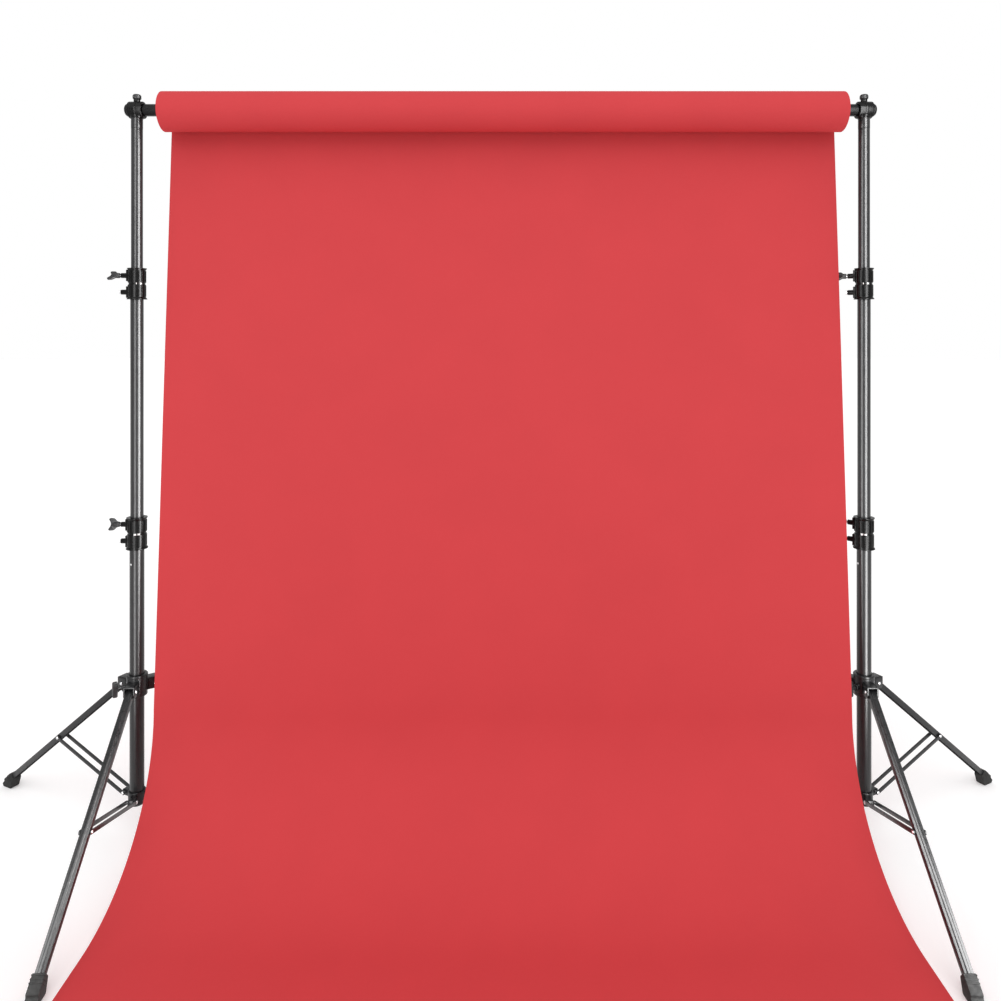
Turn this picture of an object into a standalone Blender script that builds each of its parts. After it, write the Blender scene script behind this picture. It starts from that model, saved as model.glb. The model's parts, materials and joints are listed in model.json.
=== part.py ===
"""A half-width seamless paper roll on a crossbar between two folding light stands.

Units are metres and +Z is up. The crossbar runs along X, the paper hangs at the back of the roll,
sweeps forward towards -Y and lies on the floor at Z = 0.
"""

import math

import bmesh
import bpy
from mathutils import Matrix, Vector

# Where the roll's middle lies from the centre of the whole footprint.
ROLL_X = 0.0081
ROLL_Y = 0.1805

GAP = 0.0003  # between pieces that touch

# Crossbar and paper
BAR_Z = 1.442
BAR_R = 0.012
BAR_WALL = 0.0014
BAR_LEFT = -0.7435
BAR_RIGHT = 0.7335
BAR_JOIN_X = -0.006
SPIGOT_LENGTH = 0.06
CAP_LENGTH = 0.008
CORE_IN_R = 0.0155
CORE_OUT_R = 0.0200
CORE_DROP = CORE_IN_R - BAR_R - 0.0005
ROLL_Z = BAR_Z - CORE_DROP
ROLL_R = 0.0395
PAPER_HALF = 0.675
CORE_HALF = 0.677
SHEET_THICK = 0.0015
SHEET_LOW_Y = -0.046  # the hanging paper where its sweep begins
SWEEP_R = 0.27
SHEET_FRONT_Y = -0.60

# Stands: column places and tube sections
STAND_X = {"left": -0.7285, "right": 0.7185}
LOWER_R, LOWER_IN = 0.0136, 0.0125
MIDDLE_R, MIDDLE_IN = 0.0122, 0.0112
UPPER_R, UPPER_IN = 0.0109, 0.0098
LOWER_Z = (0.0780, 0.6010)
MIDDLE_Z = (0.3000, 1.0960)
UPPER_Z = (0.7800, 1.4050)
COLLAR_HALF = 0.031

# Leg spread, in the upright plane of each leg: distance from the column's axis, and height
PIVOT_R, PIVOT_Z = 0.033, 0.2985
HUB_R, HUB_Z = 0.029, 0.081
FOOT_R, FOOT_Z = 0.400, 0.0125
BRACE_SHARE = 0.53
LEG_WIDTH, LEG_HEIGHT, LEG_WALL = 0.015, 0.011, 0.0015
PIN_R, PIN_HOLE_R, RIVET_R = 0.0020, 0.0024, 0.0033
SCREW_R, SCREW_HOLE_R = 0.0020, 0.0026
BOSS_HEIGHT = 0.0165  # of a collar's two bosses above and below its seam
BOSS_END_R = 0.0310
KNOB_HEAD_R = 0.0338  # from the column's axis to a wing knob's head
COLLAR_BODY_R = {"lower": 0.0180, "upper": 0.0165}
WING_ROLL = {"lower": 12, "upper": 50}
HOLDER_HALF = 0.0145
CLEVIS_HALF, CLEVIS_SLOT_HALF = 0.0106, 0.0079
BRACE_IN, BRACE_OUT, BRACE_HALF_HEIGHT = 0.0083, 0.0107, 0.0038
BRACE_END = 0.0045
LEG_ANGLES = {"left": (154, 34, -86), "right": (28, 148, -92)}
LOCK_ANGLE = {"left": 214, "right": 208}
KNOB_ANGLE = {"left": 180, "right": 140}


def clear_scene():
    for obj in list(bpy.data.objects):
        bpy.data.objects.remove(obj, do_unlink=True)


def finish(name, colour, roughness, metallic):
    mat = bpy.data.materials.get(name) or bpy.data.materials.new(name)
    mat.use_nodes = True
    shader = mat.node_tree.nodes["Principled BSDF"]
    shader.inputs["Base Color"].default_value = (*colour, 1.0)
    shader.inputs["Roughness"].default_value = roughness
    shader.inputs["Metallic"].default_value = metallic
    mat.diffuse_color = (*colour, 1.0)
    return mat


PAINTS = {
    "red_paper": ((0.64, 0.065, 0.07), 0.9, 0.0),
    "core_board": ((0.36, 0.25, 0.15), 0.95, 0.0),
    "black_tube": ((0.035, 0.035, 0.037), 0.35, 0.9),
    "black_steel": ((0.02, 0.02, 0.021), 0.4, 0.8),
    "collar_plastic": ((0.012, 0.012, 0.013), 0.25, 0.0),
    "knob_plastic": ((0.03, 0.03, 0.032), 0.5, 0.0),
    "steel_screw": ((0.6, 0.6, 0.61), 0.3, 1.0),
    "rubber": ((0.02, 0.02, 0.02), 0.85, 0.0),
}


def new_object(name, mesh, paint):
    mesh.materials.append(finish(paint, *PAINTS[paint]))
    mesh.set_sharp_from_angle(angle=math.radians(35))
    obj = bpy.data.objects.new(name, mesh)
    bpy.context.scene.collection.objects.link(obj)
    return obj


def mesh_of(bm):
    bmesh.ops.recalc_face_normals(bm, faces=bm.faces)
    mesh = bpy.data.meshes.new("piece")
    bm.to_mesh(mesh)
    bm.free()
    mesh.shade_smooth()
    return mesh


def turned(profile, segments, closed=True):
    """A profile of (radius, height) points turned about Z; a closed one makes a ring."""
    bm = bmesh.new()
    rings = []
    for radius, height in profile:
        if radius < 1e-6:
            rings.append([bm.verts.new((0, 0, height))])
            continue
        turn = [2 * math.pi * i / segments for i in range(segments)]
        rings.append([bm.verts.new((radius * math.cos(a), radius * math.sin(a), height)) for a in turn])
    pairs = list(zip(rings, rings[1:]))
    if closed:
        pairs.append((rings[-1], rings[0]))
    for low, high in pairs:
        for i in range(segments):
            j = (i + 1) % segments
            corners = [low[i % len(low)], low[j % len(low)], high[j % len(high)], high[i % len(high)]]
            face = list(dict.fromkeys(corners))
            if len(face) > 2:
                bm.faces.new(face)
    return mesh_of(bm)


def ring(outer, inner, z0, z1, segments=20):
    return turned([(outer, z0), (outer, z1), (inner, z1), (inner, z0)], segments)


def rod(radius, z0, z1, segments=8):
    return turned([(0, z0), (radius, z0), (radius, z1), (0, z1)], segments, closed=False)


def prism(outline, depth):
    """An outline in XZ, as thick as depth along Y and centred on Y = 0."""
    bm = bmesh.new()
    near = [bm.verts.new((x, -depth / 2, z)) for x, z in outline]
    far = [bm.verts.new((x, depth / 2, z)) for x, z in outline]
    bm.faces.new(near)
    bm.faces.new(far)
    for i in range(len(outline)):
        j = (i + 1) % len(outline)
        bm.faces.new([near[i], near[j], far[j], far[i]])
    return mesh_of(bm)


def block(x0, x1, y0, y1, z0, z1):
    mesh = prism([(x0, z0), (x1, z0), (x1, z1), (x0, z1)], y1 - y0)
    mesh.transform(Matrix.Translation((0, (y0 + y1) / 2, 0)))
    return mesh


def turn_about(axis, degrees):
    return Matrix.Rotation(math.radians(degrees), 4, axis)


def moved(mesh, matrix):
    mesh.transform(matrix)
    return mesh


ALONG_X = turn_about("Y", 90)
ALONG_Y = turn_about("X", -90)


def shape(name, mesh, paint, steps=()):
    """One piece: its first mesh, then meshes joined to it ('UNION') or cut out of it ('DIFFERENCE')."""
    obj = new_object(name, mesh, paint)
    for operation, tool_mesh in steps:
        tool = bpy.data.objects.new("tool", tool_mesh)
        bpy.context.scene.collection.objects.link(tool)
        cut = obj.modifiers.new("cut", "BOOLEAN")
        cut.operation = operation
        cut.object = tool
        cut.solver = "EXACT"
        graph = bpy.context.evaluated_depsgraph_get()
        result = bpy.data.meshes.new_from_object(obj.evaluated_get(graph))
        obj.modifiers.remove(cut)
        obj.data = result
        bpy.data.objects.remove(tool, do_unlink=True)
    obj.data.set_sharp_from_angle(angle=math.radians(35))
    obj.data.name = name
    return obj


def place(obj, parent, location=(0, 0, 0), spin=0.0, tilt=0.0):
    """Put a piece under its parent, tilted about Y and then spun about Z, in degrees."""
    obj.parent = parent
    obj.rotation_mode = "XYZ"
    obj.location = location
    obj.rotation_euler = (0, math.radians(tilt), math.radians(spin))
    return obj


def empty(name, parent=None, location=(0, 0, 0)):
    guide = bpy.data.objects.new(name, None)
    bpy.context.scene.collection.objects.link(guide)
    guide.parent = parent
    guide.location = location
    return guide


# ---- Crossbar, core and paper ----


def bevelled_ring(outer, inner, z0, z1, segments, edge=0.001):
    return turned(
        [(outer - edge, z0), (outer, z0 + edge), (outer, z1 - edge), (outer - edge, z1), (inner, z1), (inner, z0)],
        segments,
    )


def crossbar(parent):
    bore = BAR_R - BAR_WALL
    left = shape("crossbar_left", ring(BAR_R, bore, BAR_LEFT, BAR_JOIN_X), "black_tube")
    left.data.transform(ALONG_X)
    place(left, parent)
    spigot_bore = bore - 0.0015
    profile = [
        (BAR_R, BAR_JOIN_X + GAP), (BAR_R, BAR_RIGHT), (bore, BAR_RIGHT), (bore, BAR_JOIN_X + 0.02),
        (spigot_bore, BAR_JOIN_X + 0.02), (spigot_bore, BAR_JOIN_X - SPIGOT_LENGTH),
        (bore - GAP, BAR_JOIN_X - SPIGOT_LENGTH), (bore - GAP, BAR_JOIN_X + GAP),
    ]
    right = shape("crossbar_right", turned(profile, 20), "black_tube")
    right.data.transform(ALONG_X)
    place(right, parent)


def end_cap(name, parent, x, outward):
    plug = BAR_R - BAR_WALL - GAP
    profile = [
        (0, -0.010), (plug, -0.010), (plug, GAP), (BAR_R + 0.0006, GAP),
        (BAR_R + 0.0006, CAP_LENGTH * 0.45), (BAR_R - 0.0040, CAP_LENGTH), (0, CAP_LENGTH),
    ]
    cap = shape(name, turned(profile, 16, closed=False), "collar_plastic")
    cap.data.transform(turn_about("Y", 90 * outward))
    place(cap, parent, (x, 0, 0))


def paper_roll(parent):
    core = shape("cardboard_core", ring(CORE_OUT_R, CORE_IN_R, -CORE_HALF, CORE_HALF, 28), "core_board")
    core.data.transform(ALONG_X)
    place(core, parent)
    wound = ring(ROLL_R, CORE_OUT_R + GAP, -PAPER_HALF, PAPER_HALF, 40)
    roll = shape("wound_paper", wound, "red_paper")
    roll.data.transform(ALONG_X)
    place(roll, parent)


def sheet_path():
    """The paper's back face as (y, z) points: a straight hang, a round sweep and the floor."""
    points = [(ROLL_R + GAP + SHEET_THICK, ROLL_Z), (SHEET_LOW_Y, SWEEP_R)]
    steps = 14
    for i in range(1, steps + 1):
        a = math.pi / 2 * i / steps
        points.append((SHEET_LOW_Y - SWEEP_R * (1 - math.cos(a)), SWEEP_R * (1 - math.sin(a))))
    points.append((SHEET_FRONT_Y, 0.0))
    return points


def paper_sheet(parent):
    back = sheet_path()
    front = []
    for i, (y, z) in enumerate(back):
        before, after = back[max(i - 1, 0)], back[min(i + 1, len(back) - 1)]
        along = Vector((after[0] - before[0], after[1] - before[1])).normalized()
        front.append((y + along[1] * SHEET_THICK, z - along[0] * SHEET_THICK))
    outline = back + front[::-1]
    mesh = prism(outline, 2 * PAPER_HALF)
    mesh.transform(turn_about("Z", 90))
    place(shape("paper_sheet", mesh, "red_paper"), parent)


# ---- Telescopic columns ----


def tube(name, parent, outer, inner, span):
    place(shape(name, ring(outer, inner, *span), "black_tube"), parent)


def collar(name, parent, z, body_r, outer_r, inner_r, spin):
    """A clamp collar: the outer tube ends halfway up it and the inner tube passes through it.

    Its upper boss takes the wing knob and its lower boss takes the set screw.
    """
    half, flange, groove = COLLAR_HALF, 0.0026, 0.0012
    low, high = outer_r + GAP, inner_r + GAP
    profile = [
        (low, -half), (body_r + flange, -half), (body_r, -half + 0.0035), (body_r, -0.0010),
        (body_r - groove, 0.0), (body_r - 0.0004, 0.0010), (body_r - 0.0004, half - 0.0035),
        (body_r + flange - 0.0008, half), (high, half), (high, 0.0010), (low, 0.0007),
    ]
    steps = []
    for height in (BOSS_HEIGHT, -BOSS_HEIGHT):
        boss = moved(rod(0.0050, body_r - 0.003, BOSS_END_R, 10), ALONG_X)
        steps.append(("UNION", moved(boss, Matrix.Translation((0, 0, height)))))
        hole = moved(rod(SCREW_HOLE_R, inner_r - 0.002, BOSS_END_R + 0.002), ALONG_X)
        steps.append(("DIFFERENCE", moved(hole, Matrix.Translation((0, 0, height)))))
    place(shape(name, turned(profile, 20), "collar_plastic", steps), parent, (0, 0, z), spin)


def wing_knob(name, parent, location, spin, reach, roll):
    """A wing head on its screw; the screw runs along +X from -reach to the head at 0."""
    wing = [
        (0.0005, -0.0045), (0.006, -0.0060), (0.012, -0.0118), (0.020, -0.0124), (0.0225, -0.0100),
        (0.0185, -0.0040), (0.0175, 0.0), (0.0185, 0.0040), (0.0225, 0.0100), (0.020, 0.0124),
        (0.012, 0.0118), (0.006, 0.0060), (0.0005, 0.0045),
    ]
    screw = moved(rod(SCREW_R, -reach, 0.002), ALONG_X)
    hub = moved(rod(0.0052, 0.0, 0.0150, 10), ALONG_X)
    knob = shape(name, prism(wing, 0.0042), "knob_plastic", [("UNION", hub), ("UNION", screw)])
    knob.data.transform(turn_about("X", roll))
    place(knob, parent, location, spin)


def set_screw(name, parent, z, spin):
    """A slotted screw in a collar's lower boss."""
    body = rod(SCREW_R, 0.0215, 0.0316)
    head = rod(0.0040, 0.0314, 0.0342, 10)
    slot = block(-0.0050, 0.0050, -0.0006, 0.0006, 0.0332, 0.0350)
    screw = shape(name, head, "steel_screw", [("UNION", body), ("DIFFERENCE", slot)])
    screw.data.transform(ALONG_X)
    place(screw, parent, (0, 0, z), spin)


def bar_holder(side, parent):
    """The spigot in the upper tube's top, the holder around the bar's end, and its clamp knob."""
    top = UPPER_Z[1]
    stud = [
        (0, top - 0.025), (UPPER_IN - GAP, top - 0.025), (UPPER_IN - GAP, top + GAP), (UPPER_R, top + GAP),
        (UPPER_R, top + 0.004), (0.0080, top + 0.004), (0.0080, top + 0.0200), (0, top + 0.0200),
    ]
    place(shape(f"{side}_top_stud", turned(stud, 14, closed=False), "steel_screw"), parent)
    bore = BAR_R + GAP
    sleeve = moved(bevelled_ring(0.0168, bore, -HOLDER_HALF, HOLDER_HALF, 20, 0.0012), ALONG_X)
    socket = ring(0.0128, 0.0083, top + 0.0045 - BAR_Z, -0.0136, 16)
    boss = rod(0.0062, 0.0150, 0.0205, 10)
    hole = rod(SCREW_HOLE_R, 0.0100, 0.0230)
    holder = shape(
        f"{side}_bar_holder", sleeve, "collar_plastic",
        [("UNION", socket), ("UNION", boss), ("DIFFERENCE", hole)],
    )
    place(holder, parent, (0, 0, BAR_Z))
    head = [(0, 0.0208), (0.0060, 0.0208), (0.0078, 0.0225), (0.0078, 0.0290), (0.0062, 0.0310), (0, 0.0310)]
    screw = rod(SCREW_R, 0.0125, 0.0215)
    knob = shape(f"{side}_holder_knob", turned(head, 12, closed=False), "knob_plastic", [("UNION", screw)])
    place(knob, parent, (0, 0, BAR_Z))


# ---- Folding legs ----


def leg_direction():
    """How steeply a leg runs down, in degrees, and how long it is."""
    run, drop = FOOT_R - PIVOT_R, PIVOT_Z - FOOT_Z
    return math.degrees(math.atan2(drop, run)), math.hypot(run, drop)


def leg_collar(side, parent):
    """A sliding ring with a clevis for each leg and a boss for the lock knob."""
    body = bevelled_ring(0.0195, LOWER_R + GAP, -0.0190, 0.0230, 20, 0.0012)
    steps = []
    for angle in LEG_ANGLES[side]:
        spin = turn_about("Z", angle)
        arm = block(0.0165, PIVOT_R + 0.0095, -CLEVIS_HALF, CLEVIS_HALF, -0.0100, 0.0125)
        steps.append(("UNION", moved(arm, spin)))
    for angle in LEG_ANGLES[side]:
        spin = turn_about("Z", angle)
        slot = block(PIVOT_R - 0.0112, PIVOT_R + 0.0200, -CLEVIS_SLOT_HALF, CLEVIS_SLOT_HALF, -0.0200, 0.0100)
        steps.append(("DIFFERENCE", moved(slot, spin)))
        hole = moved(rod(PIN_HOLE_R, -0.0200, 0.0200), ALONG_Y)
        hole.transform(Matrix.Translation((PIVOT_R, 0, 0)))
        steps.append(("DIFFERENCE", moved(hole, spin)))
    spin = turn_about("Z", LOCK_ANGLE[side])
    boss = moved(moved(rod(0.0062, 0.0175, 0.0270, 10), ALONG_X), spin)
    steps.append(("UNION", boss))
    hole = moved(moved(rod(SCREW_HOLE_R, 0.0120, 0.0290), ALONG_X), spin)
    steps.append(("DIFFERENCE", hole))
    place(shape(f"{side}_leg_collar", body, "black_steel", steps), parent, (0, 0, PIVOT_Z))


def lock_knob(side, parent):
    """The T-shaped knob that clamps the leg collar to the tube."""
    bar = [
        (0.0090, -0.0150), (0.0160, -0.0150), (0.0175, -0.0130), (0.0175, 0.0130),
        (0.0160, 0.0150), (0.0090, 0.0150), (0.0078, 0.0130), (0.0078, -0.0130),
    ]
    stem = moved(rod(0.0036, 0.0, 0.0120), ALONG_X)
    screw = moved(rod(SCREW_R, -0.0130, 0.0020), ALONG_X)
    knob = shape(f"{side}_lock_knob", prism(bar, 0.0080), "knob_plastic", [("UNION", stem), ("UNION", screw)])
    spin = math.radians(LOCK_ANGLE[side])
    reach = 0.0273
    location = (reach * math.cos(spin), reach * math.sin(spin), PIVOT_Z)
    place(knob, parent, location, LOCK_ANGLE[side])


def hub(side, parent):
    """The cup at the tube's foot, with a tongue for each pair of brace bars."""
    low, floor_z = 0.0580 - HUB_Z, LOWER_Z[0] - GAP - HUB_Z
    inner = LOWER_R + GAP
    cup = [
        (0.0040, low), (0.0160, low), (0.0185, low + 0.0030), (0.0185, 0.0145), (inner, 0.0145),
        (inner, floor_z), (0.0040, floor_z),
    ]
    steps = []
    for angle in LEG_ANGLES[side]:
        tongue = block(0.0165, HUB_R + 0.0060, -0.0055, 0.0055, -0.0062, 0.0062)
        steps.append(("UNION", moved(tongue, turn_about("Z", angle))))
    for angle in LEG_ANGLES[side]:
        hole = moved(rod(PIN_HOLE_R, -0.0100, 0.0100), ALONG_Y)
        hole.transform(Matrix.Translation((HUB_R, 0, 0)))
        steps.append(("DIFFERENCE", moved(hole, turn_about("Z", angle))))
    place(shape(f"{side}_hub", turned(cup, 20), "black_steel", steps), parent, (0, 0, HUB_Z))


def pin_with_heads(half_grip):
    """A cross pin along Y with a low rivet head past half_grip at each end."""
    head = half_grip + 0.0012
    profile = [
        (0, -head), (RIVET_R, -head), (RIVET_R, -half_grip), (PIN_R, -half_grip),
        (PIN_R, half_grip), (RIVET_R, half_grip), (RIVET_R, head), (0, head),
    ]
    return moved(turned(profile, 8, closed=False), ALONG_Y)


def leg(side, number, parent, angle):
    """A channel leg, open underneath, on its pin in the collar's clevis."""
    slope, length = leg_direction()
    top, low, half = LEG_HEIGHT / 2, -LEG_HEIGHT / 2, LEG_WIDTH / 2
    channel = block(-0.0060, length, -half, half, low, top)
    hollow = block(-0.0080, length + 0.01, -half + LEG_WALL, half - LEG_WALL, low - 0.01, top - LEG_WALL)
    pin = pin_with_heads(CLEVIS_HALF + GAP)
    piece = shape(
        f"{side}_leg_{number}", channel, "black_steel", [("DIFFERENCE", hollow), ("UNION", pin)]
    )
    a = math.radians(angle)
    location = (PIVOT_R * math.cos(a), PIVOT_R * math.sin(a), PIVOT_Z)
    place(piece, parent, location, angle, slope)


def foot(side, number, parent, angle):
    """A rubber boot over the leg's end, flat underneath; it is drawn about the leg's end point."""
    slope, _ = leg_direction()
    t = math.radians(slope)
    along, up = Vector((math.cos(t), -math.sin(t))), Vector((math.sin(t), math.cos(t)))
    half = LEG_HEIGHT / 2 + 0.0022
    outline = [
        -0.024 * along - half * up, Vector((-0.016, -FOOT_Z)), Vector((0.009, -FOOT_Z)), Vector((0.013, -0.007)),
        0.005 * along + 0.5 * half * up, 0.003 * along + half * up, -0.024 * along + half * up,
    ]
    boot = prism([tuple(p) for p in outline], LEG_WIDTH + 0.0046)
    room_y, room_z = LEG_WIDTH / 2 + GAP, LEG_HEIGHT / 2 + GAP
    pocket = block(-0.030, GAP, -room_y, room_y, -room_z, room_z)
    pocket.transform(turn_about("Y", slope))
    piece = shape(f"{side}_foot_{number}", boot, "rubber", [("DIFFERENCE", pocket)])
    a = math.radians(angle)
    place(piece, parent, (FOOT_R * math.cos(a), FOOT_R * math.sin(a), FOOT_Z), angle)


def brace(side, number, parent, angle):
    """Two parallel bars from the hub's tongue to both sides of the leg, joined by the hub pin."""
    run = PIVOT_R + BRACE_SHARE * (FOOT_R - PIVOT_R) - HUB_R
    rise = PIVOT_Z + BRACE_SHARE * (FOOT_Z - PIVOT_Z) - HUB_Z
    length, slope = math.hypot(run, rise), -math.degrees(math.atan2(rise, run))
    start, end = -BRACE_END, length + BRACE_END
    near = block(start, end, -BRACE_OUT, -BRACE_IN, -BRACE_HALF_HEIGHT, BRACE_HALF_HEIGHT)
    far = block(start, end, BRACE_IN, BRACE_OUT, -BRACE_HALF_HEIGHT, BRACE_HALF_HEIGHT)
    steps = [("UNION", pin_with_heads(BRACE_OUT - 0.0002)), ("UNION", far)]
    for side_turn in (180, 0):
        head = moved(rod(RIVET_R, BRACE_OUT - 0.0005, BRACE_OUT + 0.0010), ALONG_Y)
        head.transform(turn_about("Z", side_turn))
        head.transform(Matrix.Translation((length, 0, 0)))
        steps.append(("UNION", head))
    piece = shape(f"{side}_brace_{number}", near, "black_steel", steps)
    a = math.radians(angle)
    place(piece, parent, (HUB_R * math.cos(a), HUB_R * math.sin(a), HUB_Z), angle, slope)


def stand(side, origin):
    base = empty(f"{side}_stand", origin, (STAND_X[side], 0, 0))
    tube(f"{side}_lower_tube", base, LOWER_R, LOWER_IN, LOWER_Z)
    tube(f"{side}_middle_tube", base, MIDDLE_R, MIDDLE_IN, MIDDLE_Z)
    tube(f"{side}_upper_tube", base, UPPER_R, UPPER_IN, UPPER_Z)
    spin = KNOB_ANGLE[side]
    a = math.radians(spin)
    joints = (
        ("lower", LOWER_Z[1] + 0.0005, LOWER_R, MIDDLE_R),
        ("upper", MIDDLE_Z[1] + 0.0005, MIDDLE_R, UPPER_R),
    )
    for level, z, outer_r, inner_r in joints:
        collar(f"{side}_{level}_collar", base, z, COLLAR_BODY_R[level], outer_r, inner_r, spin)
        head_place = (KNOB_HEAD_R * math.cos(a), KNOB_HEAD_R * math.sin(a), z + BOSS_HEIGHT)
        reach = KNOB_HEAD_R - inner_r - 0.0006
        wing_knob(f"{side}_{level}_knob", base, head_place, spin, reach, WING_ROLL[level])
        set_screw(f"{side}_{level}_set_screw", base, z - BOSS_HEIGHT, spin)
    bar_holder(side, base)
    leg_collar(side, base)
    lock_knob(side, base)
    hub(side, base)
    for number, angle in enumerate(LEG_ANGLES[side], 1):
        leg(side, number, base, angle)
        foot(side, number, base, angle)
        brace(side, number, base, angle)


def build():
    clear_scene()
    origin = empty("footprint_centre", None, (ROLL_X, ROLL_Y, 0))
    bar_axis = empty("bar_axis", origin, (0, 0, BAR_Z))
    crossbar(bar_axis)
    end_cap("left_end_cap", bar_axis, BAR_LEFT, -1)
    end_cap("right_end_cap", bar_axis, BAR_RIGHT, 1)
    paper_roll(empty("roll_axis", origin, (0, 0, ROLL_Z)))
    paper_sheet(origin)
    for side in STAND_X:
        stand(side, origin)


build()
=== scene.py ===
"""Looks of the backdrop paper roll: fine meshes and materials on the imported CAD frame.

Units are metres and +Z is up. The crossbar runs along X and the paper sweeps forward towards -Y.
"""

import json
import math
import random

import bmesh
import bpy
from mathutils import Matrix, Vector, noise

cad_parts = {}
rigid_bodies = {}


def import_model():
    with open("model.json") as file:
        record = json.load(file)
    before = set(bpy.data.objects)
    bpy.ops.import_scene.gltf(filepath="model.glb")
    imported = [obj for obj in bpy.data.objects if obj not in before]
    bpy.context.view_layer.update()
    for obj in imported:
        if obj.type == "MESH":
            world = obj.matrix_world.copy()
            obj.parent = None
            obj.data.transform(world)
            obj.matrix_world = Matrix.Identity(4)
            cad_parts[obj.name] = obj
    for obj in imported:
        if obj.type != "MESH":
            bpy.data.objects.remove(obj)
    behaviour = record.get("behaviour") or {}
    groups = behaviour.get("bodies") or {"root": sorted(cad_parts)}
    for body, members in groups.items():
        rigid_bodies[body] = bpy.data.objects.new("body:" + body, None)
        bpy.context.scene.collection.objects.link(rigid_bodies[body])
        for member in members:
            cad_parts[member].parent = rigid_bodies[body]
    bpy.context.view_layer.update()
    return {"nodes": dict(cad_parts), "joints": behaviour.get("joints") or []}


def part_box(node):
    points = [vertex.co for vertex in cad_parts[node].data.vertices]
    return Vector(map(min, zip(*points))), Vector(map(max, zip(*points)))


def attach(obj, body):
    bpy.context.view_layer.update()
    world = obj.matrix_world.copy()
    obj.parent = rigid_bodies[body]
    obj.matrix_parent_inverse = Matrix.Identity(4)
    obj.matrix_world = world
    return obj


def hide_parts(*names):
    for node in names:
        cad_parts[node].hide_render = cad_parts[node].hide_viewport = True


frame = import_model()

SIDES = ("left", "right")
JOINTS = {joint["name"]: joint for joint in frame["joints"]}
GAP = 0.0003

# Crossbar, core and paper
BAR_R, BAR_WALL = 0.012, 0.0014
BAR_JOIN_X = -0.006
CORE_IN_R, CORE_OUT_R = 0.0155, 0.0200
ROLL_R = 0.0395
PAPER_HALF, CORE_HALF = 0.675, 0.677
SHEET_LOW_Y = -0.046
SWEEP_R = 0.27
SHEET_FRONT_Y = -0.60
SHEET_THICK = 0.0006

# Stands
LOWER_R, LOWER_IN = 0.0136, 0.0125
MIDDLE_R, MIDDLE_IN = 0.0122, 0.0112
UPPER_R, UPPER_IN = 0.0109, 0.0098
COLLAR_HALF = 0.031
BOSS_HEIGHT, BOSS_END_R = 0.0165, 0.0310
COLLAR_BODY_R = {"lower": 0.0180, "upper": 0.0165}
PIVOT_R, PIVOT_Z = 0.033, 0.2985
HUB_R, HUB_Z = 0.029, 0.081
FOOT_R, FOOT_Z = 0.400, 0.0125
BRACE_SHARE = 0.53
LEG_WIDTH, LEG_HEIGHT, LEG_WALL = 0.015, 0.011, 0.0015
CLEVIS_HALF, CLEVIS_SLOT_HALF = 0.0106, 0.0079
BRACE_IN, BRACE_OUT, BRACE_HALF_HEIGHT = 0.0083, 0.0107, 0.0038
PIN_R, RIVET_R = 0.0020, 0.0033
STOP_RIVET_Z, STOP_RIVET_PROUD = 0.541, 0.0002  # low enough for the leg collar to slide over


def middle(node):
    low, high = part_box(node)
    return (low + high) / 2


BAR = middle("left_bar_holder")
BAR.z = middle("crossbar_left").z
ROLL = middle("wound_paper")
COLUMN = {side: middle(f"{side}_lower_tube") for side in SIDES}


def heading(joint):
    """The plan direction of a joint's axis, in degrees from +X."""
    x, y, _ = JOINTS[joint]["axis"]
    return math.degrees(math.atan2(y, x))


KNOB_TURN = {side: heading(f"{side}_lower_knob_turn") for side in SIDES}
LOCK_TURN = {side: heading(f"{side}_lock_knob_turn") for side in SIDES}
LEG_TURN = {side: [heading(f"{side}_leg_{i}_hinge") - 90 for i in (1, 2, 3)] for side in SIDES}
MARK_TURN = {"left": -65.5, "right": -114.0}  # where the collars' pale pads face


# ---- Materials ----


def link(material, source, target):
    material.node_tree.links.new(source, target)


def node(material, kind, **settings):
    made = material.node_tree.nodes.new(kind)
    for name, value in settings.items():
        setattr(made, name, value)
    return made


def shader_of(material):
    return material.node_tree.nodes["Principled BSDF"]


def base_material(name, colour, roughness, metallic=0.0, specular=0.5):
    material = bpy.data.materials.new(name)
    material.use_nodes = True
    inputs = shader_of(material).inputs
    inputs["Base Color"].default_value = (*colour, 1.0)
    inputs["Roughness"].default_value = roughness
    inputs["Metallic"].default_value = metallic
    inputs["Specular IOR Level"].default_value = specular
    return material


def noise_of(material, scale, detail=3.0, stretch=(1.0, 1.0, 1.0)):
    """A noise value over the surface, at scale grains per metre, squeezed along each axis by stretch."""
    place = node(material, "ShaderNodeTexCoord")
    squeeze = node(material, "ShaderNodeMapping")
    squeeze.inputs["Scale"].default_value = stretch
    grain = node(material, "ShaderNodeTexNoise")
    grain.inputs["Scale"].default_value = scale
    grain.inputs["Detail"].default_value = detail
    link(material, place.outputs["Object"], squeeze.inputs["Vector"])
    link(material, squeeze.outputs["Vector"], grain.inputs["Vector"])
    return grain.outputs["Fac"]


def ranged(material, value, low, high, start=0.3, end=0.7):
    spread = node(material, "ShaderNodeMapRange")
    spread.inputs["From Min"].default_value = start
    spread.inputs["From Max"].default_value = end
    spread.inputs["To Min"].default_value = low
    spread.inputs["To Max"].default_value = high
    link(material, value, spread.inputs["Value"])
    return spread.outputs["Result"]


def vary_colour(material, value, dark, light, start=0.3, end=0.7):
    ramp = node(material, "ShaderNodeValToRGB")
    ramp.color_ramp.elements[0].position = start
    ramp.color_ramp.elements[1].position = end
    ramp.color_ramp.elements[0].color = (*dark, 1.0)
    ramp.color_ramp.elements[1].color = (*light, 1.0)
    link(material, value, ramp.inputs["Fac"])
    link(material, ramp.outputs["Color"], shader_of(material).inputs["Base Color"])


def vary_roughness(material, value, low, high):
    link(material, ranged(material, value, low, high), shader_of(material).inputs["Roughness"])


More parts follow.
